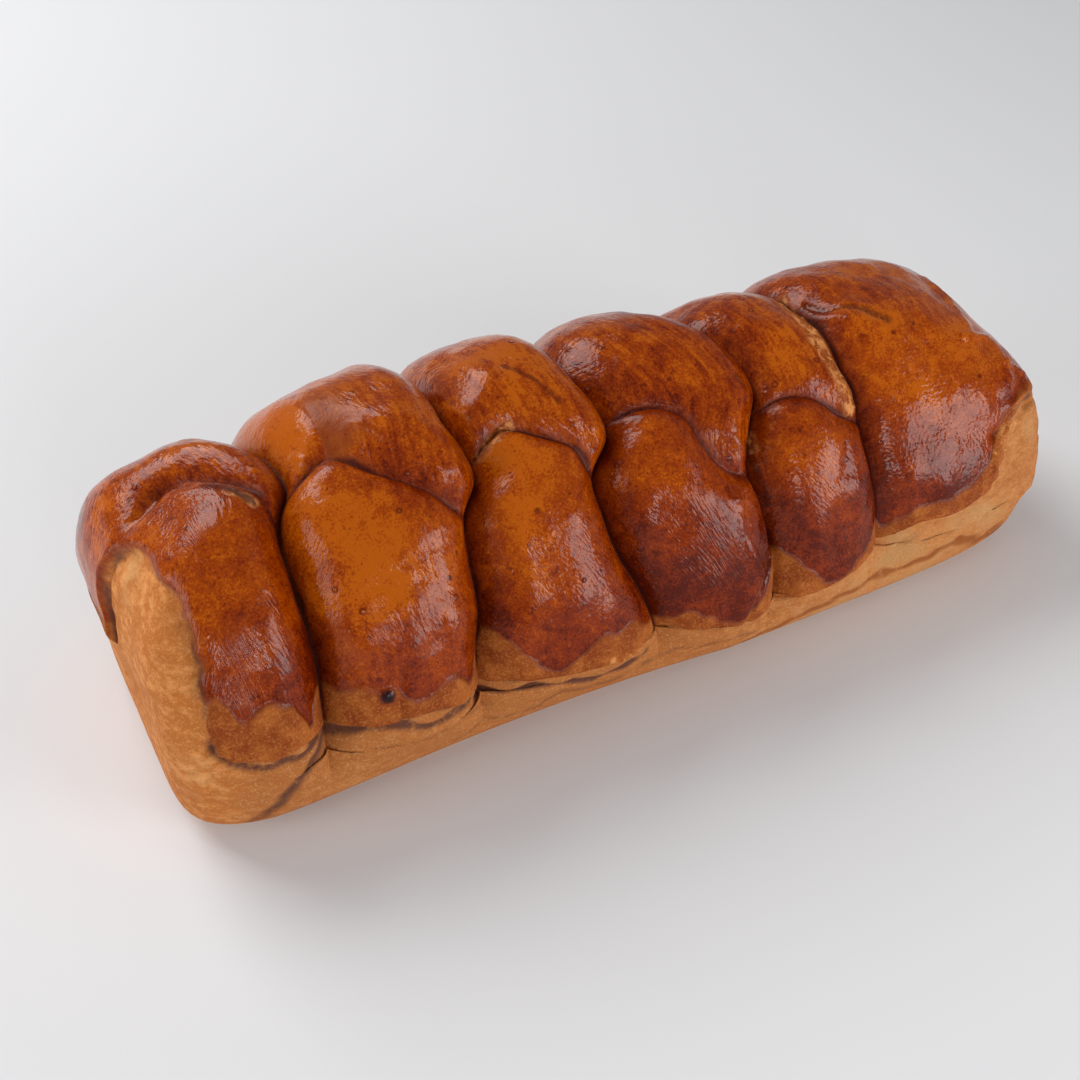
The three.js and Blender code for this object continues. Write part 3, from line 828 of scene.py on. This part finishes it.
# Stretched noises: what they lie on, their stretch and turn, then the same. Those on a lobe
# are counted in cells for each millimetre.
STRETCHED = {
    "streak": ("lobe", (0.50, 0.12, 1.0), 0.35, (1.0, 4.0, 0.65, 0.4)),
    "peel": ("lobe", (1.0, 0.85, 1.0), 0.3, (0.85, 1.0, 0.4, 0.0)),
    "dent": ("lobe", (0.34, 0.13, 1.0), 0.1, (1.0, 1.0, 0.4, 0.0)),
    "crumb": ("place", (1.0, 1.0, 1.6), 0.0, (260.0, 5.0, 0.65, 0.0)),
    "wrinkle": ("place", (0.5, 0.5, 2.4), 0.0, (150.0, 5.0, 0.65, 0.5)),
}
PORES, BLISTERS, PRICKS, FLECK_STRETCH = 700.0, 135.0, 420.0, (0.34, 0.2, 1.0)

# How much each noise varies the bake; streaks vary it most on the back lobes
BAKE_MIX = {"slow": 1.1, "blotch": 1.6, "mottle": 1.3, "grain": 1.5}
STREAK_FRONT, STREAK_BACK = 0.5, 1.9

# Bake at which each colour starts to take over, and at which it has
TO_AMBER, TO_CHESTNUT, TO_DEEP_BROWN = (-0.15, 0.3), (0.25, 0.75), (0.7, 1.25)

# Bumps in millimetres, on the wet glaze and on the dry dough
WET_BUMPS = {"peel": 0.2, "dent": 0.12, "blotch": 0.22, "fine": 0.025, "dome": 0.14, "prick": -0.05}
DRY_BUMPS = {"crumb": 0.5, "wrinkle": 0.7, "fine": 0.2, "pit": 0.4}
PIT_DEPTH = 0.3


def textures(f):
    """Sockets that the crust's colours and bumps share, by name: looks, noises and cells."""
    t = {name: f.attribute(name) for name in LOOKS}
    t["place"] = f.node("ShaderNodeTexCoord").outputs["Object"]
    apart = f.times(t["turn"], TURNS_APART)
    t["lobe"] = f.node("ShaderNodeCombineXYZ", X=t["across"], Y=t["along"], Z=apart).outputs[0]
    for name, settings in NOISES.items():
        t[name] = f.noise(t["place"], *settings)
    for name, (ground, stretch, turn, settings) in STRETCHED.items():
        t[name] = f.noise(f.stretched(t[ground], stretch, turn), *settings)
    t["pore"], _ = f.cells(t["place"], PORES)
    t["pit"] = f.math("MINIMUM", t["pore"], PIT_DEPTH)
    return t


def glaze_colour(f, t):
    """Honey through amber and chestnut to deep brown with the bake, its painted crease shade and its
    painted sheen, and small dark specks.
    """
    bake_shade_and_sheen = t["bake_shade_and_sheen"]
    for name, weight in BAKE_MIX.items():
        bake_shade_and_sheen = f.vary(bake_shade_and_sheen, t[name], weight)
    bake_shade_and_sheen = f.vary(bake_shade_and_sheen, t["streak"], f.step(t["back"], 0.0, 1.0, STREAK_FRONT, STREAK_BACK))
    colour = f.blend(f.step(bake_shade_and_sheen, *TO_AMBER), HONEY, AMBER)
    colour = f.blend(f.step(bake_shade_and_sheen, *TO_CHESTNUT), colour, CHESTNUT)
    colour = f.blend(f.step(bake_shade_and_sheen, *TO_DEEP_BROWN), colour, DEEP_BROWN)
    speck = f.step(f.math("ADD", t["speckle"], f.times(bake_shade_and_sheen, 0.12)), 0.64, 0.74)
    return f.blend(f.times(speck, 0.45), colour, DEEP_BROWN)


def dough_colour(f, t):
    """Pale dough from foxed through tan to straw, shaded in front, with brown pores."""
    paleness = t["paleness"]
    colour = f.blend(f.step(f.vary(t["crumb"], paleness, 0.35), 0.32, 0.62), FOXED, TAN)
    colour = f.blend(f.step(f.vary(t["wisps"], paleness, 0.55), 0.5, 0.75), colour, STRAW)
    colour = f.blend(f.times(t["front"], 0.55), colour, SHADED)
    colour = f.blend(f.step(t["pore"], 0.1, 0.32, 0.35, 0.0), colour, FOXED)
    return f.blend(f.step(t["grain"], 0.52, 0.68, 0.0, 0.4), colour, STRAW)


def bare_skin_colour(f, t):
    """Matt skin that the wash missed, mottled from brown to tan."""
    colour = f.blend(f.step(t["mealy"], 0.38, 0.66), UNGLAZED, UNGLAZED_PALE)
    colour = f.blend(f.times(f.step(t["mottle"], 0.5, 0.7), 0.5), colour, CHESTNUT)
    return f.blend(f.step(t["grain"], 0.5, 0.66, 0.0, 0.25), colour, TAN)


def coat(f, t):
    """Share of the egg wash at each place, its uneven edge, and the dough, skin and wash laid over each
    other with a dark rim to the wash and a painted plum shadow line under the skin's lip."""
    wash = f.vary(f.vary(t["wash"], t["mottle"], 0.9), t["blotch"], 2.0)
    washed = f.times(f.step(wash, -1.0, 1.6), f.step(t["tear"], 0.35, 0.7, 1.0, 0.3))
    washed = f.times(washed, f.step(t["patch"], 0.0, 1.0, 1.0, 0.6))
    washed = f.math("MAXIMUM", washed, f.step(t["bubble"], 0.02, 0.2))
    on_skin = f.step(t["glaze"], -0.4, 0.4)
    colour = f.blend(on_skin, dough_colour(f, t), bare_skin_colour(f, t))
    colour = f.blend(washed, colour, glaze_colour(f, t))
    colour = f.blend(f.times(t["patch"], 0.5), colour, UNGLAZED)
    rim = f.times(washed, f.step(wash, 0.6, 3.0, 1.0, 0.0))
    colour = f.blend(f.times(rim, 0.3), colour, DEEP_BROWN)
    # painted shadow: a dark plum line just under the skin's lip
    lip = f.times(f.step(t["glaze"], -2.2, -0.8), f.step(t["glaze"], -0.5, 0.3, 1.0, 0.0))
    lip = f.times(lip, f.step(t["blotch"], 0.4, 0.6), 0.8)
    return washed, on_skin, f.blend(lip, colour, PLUM_SHADOW_AND_STAIN)


def add_lines(f, t, washed, on_skin, colour):
    """Torn and stretched dough, dark lines that are partly stains and partly painted shadow under the
    skin's lip, painted shade in the deep creases, and the bubble; and the uneven distance to the
    creases."""
    torn = f.times(f.step(t["tear"], 0.25, 0.75), f.step(t["mottle"], 0.46, 0.6))
    colour = f.blend(f.times(torn, 0.85), colour, TAN)
    # dark lines: stains, and painted shadow where they run under the skin's lip
    lines = f.times(f.step(t["stain_and_shadow"], 0.1, 0.8), f.step(t["breaks"], 0.24, 0.5))
    stain_and_shadow_colour = f.blend(f.step(t["paleness"], 0.2, 0.5), PLUM_SHADOW_AND_STAIN, RUST)
    stain_and_shadow_colour = f.blend(washed, stain_and_shadow_colour, BURNT)
    colour = f.blend(f.times(lines, f.step(washed, 0.0, 1.0, 0.9, 0.55)), colour, stain_and_shadow_colour)
    # painted shade: the crust goes near black in and beside the creases, over an uneven width
    depth = f.vary(f.vary(t["groove"], t["blotch"], 5.0), t["mottle"], 2.5)
    shade = f.times(f.step(depth, -0.2, 1.3, 0.9, 0.0), on_skin)
    colour = f.blend(shade, colour, PAINTED_CREASE_SHADE)
    return depth, f.blend(f.step(t["bubble"], 0.1, 0.5), colour, BUBBLE_BROWN)


def add_spots(f, t, washed, on_skin, colour):
    """Blisters with a dark ring, pinpricks and pale flecks."""
    spot, kind = f.cells(t["place"], BLISTERS)
    chosen = f.times(f.step(kind, 0.55, 0.6), washed)
    t["dome"] = f.times(f.step(spot, 0.03, 0.13, 1.0, 0.0), chosen)
    ring = f.times(f.step(spot, 0.05, 0.09), f.step(spot, 0.11, 0.17, 1.0, 0.0))
    colour = f.blend(f.times(ring, chosen, 0.75), colour, DEEP_BROWN)
    prick, kind = f.cells(t["place"], PRICKS)
    t["prick"] = f.times(f.step(prick, 0.05, 0.2, 1.0, 0.0), f.step(kind, 0.6, 0.66))
    colour = f.blend(f.times(t["prick"], on_skin, 0.6), colour, DEEP_BROWN)
    fleck, kind = f.cells(f.stretched(t["lobe"], FLECK_STRETCH), 1.0)
    fleck = f.times(f.step(fleck, 0.04, 0.12, 1.0, 0.0), f.step(kind, 0.62, 0.66))
    return f.blend(f.times(fleck, 0.4), colour, UNGLAZED_PALE)


def bumps(f, t, heights):
    """Sum of textures, each times its height in millimetres."""
    total = 0.0
    for name, height in heights.items():
        total = f.math("ADD", f.times(t[name], height), total)
    return total


def crust():
    """Egg-washed crust over pale dough: where the wash reaches, its colour runs from honey to
    deep brown with the bake; below it the skin is matt, and past the skin the dough is pale."""
    f = Finish("egg_washed_crust")
    t = textures(f)
    washed, on_skin, colour = coat(f, t)
    depth, colour = add_lines(f, t, washed, on_skin, colour)
    f.put(f.shader.inputs["Base Color"], add_spots(f, t, washed, on_skin, colour))
    in_crease = f.step(depth, 0.0, 3.0, CREASE_ROUGHNESS, 0.0)
    gloss = f.math("ADD", f.step(t["blotch"], 0.3, 0.7, *WET_ROUGHNESS), in_crease)
    f.put(f.shader.inputs["Roughness"], f.mix(washed, DRY_ROUGHNESS, gloss))
    f.shader.inputs["Specular IOR Level"].default_value = SHEEN
    wet = f.math("ADD", bumps(f, t, WET_BUMPS), WASH_THICKNESS)
    height = f.mix(washed, bumps(f, t, DRY_BUMPS), wet)
    f.put(f.shader.inputs["Normal"], f.bump(height, MILLIMETRE))
    return f.material


def plain(name, colour, roughness):
    """Even matt surface with a barely visible unevenness."""
    f = Finish(name)
    cloud = f.noise(f.node("ShaderNodeTexCoord").outputs["Object"], *FLOOR_CLOUD)
    darker = tuple(FLOOR_DARKER * c for c in colour)
    f.put(f.shader.inputs["Base Color"], f.blend(cloud, colour, darker))
    f.shader.inputs["Roughness"].default_value = roughness
    return f.material


# Camera: angles, distance, aim and lens fitted to the outline of the loaf in the photograph
AZIMUTH, ELEVATION, ROLL = -28.4, 42.0, 1.1
DISTANCE, AIM, LENS, SENSOR = 448.6, (-22.5, -12.6, 40.0), 49.0, 36.0
CLIP_START = 0.01  # metres

# Softboxes: name, place and size in metres, and power in watts; all face the same point
LIGHT_AIM = (0, 0, 0.05)
SOFTBOXES = [
    ("front_right", (0.50, -0.74, 0.22), 0.44, 4.7),
    ("front_left", (-0.18, -0.92, 0.30), 0.22, 1.7),
    ("left", (-1.10, -0.05, 0.34), 0.6, 4.3),
    ("behind", (-0.45, 0.85, 1.0), 0.8, 13.0),
]
FLOOR_REACH, FLOOR_COLOUR, FLOOR_ROUGHNESS = 4.0, (0.79, 0.79, 0.80), 0.9
FLOOR_CLOUD, FLOOR_DARKER = (3.0, 2.0), 0.97
SURROUND_COLOUR, SURROUND_STRENGTH = (0.97, 0.985, 1.0, 1), 0.26


def make_camera(middle):
    """Looks at the aim from the given angles; its own axes are right, up and back."""
    a, e, t = np.radians([AZIMUTH, ELEVATION, ROLL])
    back = np.array([np.sin(a) * np.cos(e), -np.cos(a) * np.cos(e), np.sin(e)])
    right = np.array([np.cos(a), np.sin(a), 0])
    up = np.cross(back, right)
    turned = np.stack(
        [right * np.cos(t) + up * np.sin(t), up * np.cos(t) - right * np.sin(t), back], -1
    )
    place = (np.array(AIM) - middle + back * DISTANCE) * MILLIMETRE
    data = bpy.data.cameras.new("camera")
    data.lens, data.sensor_width, data.sensor_fit = LENS, SENSOR, "HORIZONTAL"
    data.clip_start = CLIP_START
    camera = bpy.data.objects.new("camera", data)
    pose = np.eye(4)
    pose[:3, :3], pose[:3, 3] = turned, place
    camera.matrix_world = Matrix(pose.tolist())
    bpy.context.scene.collection.objects.link(camera)
    bpy.context.scene.camera = camera


def add_softbox(name, place, size, power):
    """Square area light at a place, facing the common point."""
    data = bpy.data.lights.new(name, "AREA")
    data.shape, data.size, data.energy = "SQUARE", size, power
    light = bpy.data.objects.new(name, data)
    back = np.array(place, float) - np.array(LIGHT_AIM, float)
    back /= np.linalg.norm(back)
    right = np.cross([0, 0, 1], back)
    right /= np.linalg.norm(right)
    pose = np.eye(4)
    pose[:3, :3], pose[:3, 3] = np.stack([right, np.cross(back, right), back], -1), place
    light.matrix_world = Matrix(pose.tolist())
    bpy.context.scene.collection.objects.link(light)


def make_studio():
    """Plain pale floor, soft lights and an even pale surround."""
    size = FLOOR_REACH
    mesh = bpy.data.meshes.new("studio_floor")
    corners = [(-size, -size, 0), (size, -size, 0), (size, size, 0), (-size, size, 0)]
    mesh.from_pydata(corners, [], [(0, 1, 2, 3)])
    floor = bpy.data.objects.new("studio_floor", mesh)
    bpy.context.scene.collection.objects.link(floor)
    floor.data.materials.append(plain("pale_floor", FLOOR_COLOUR, FLOOR_ROUGHNESS))
    for name, place, size, power in SOFTBOXES:
        add_softbox(name, place, size, power)
    world = bpy.data.worlds.new("surround")
    world.use_nodes = True
    shade = world.node_tree.nodes["Background"]
    shade.inputs["Color"].default_value = SURROUND_COLOUR
    shade.inputs["Strength"].default_value = SURROUND_STRENGTH
    bpy.context.scene.world = world
    bpy.context.scene.view_settings.view_transform = "Standard"


loaf, middle = make_loaf()
loaf.data.materials.append(crust())
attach(loaf, "root")
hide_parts("brioche")
make_camera(middle)
make_studio()
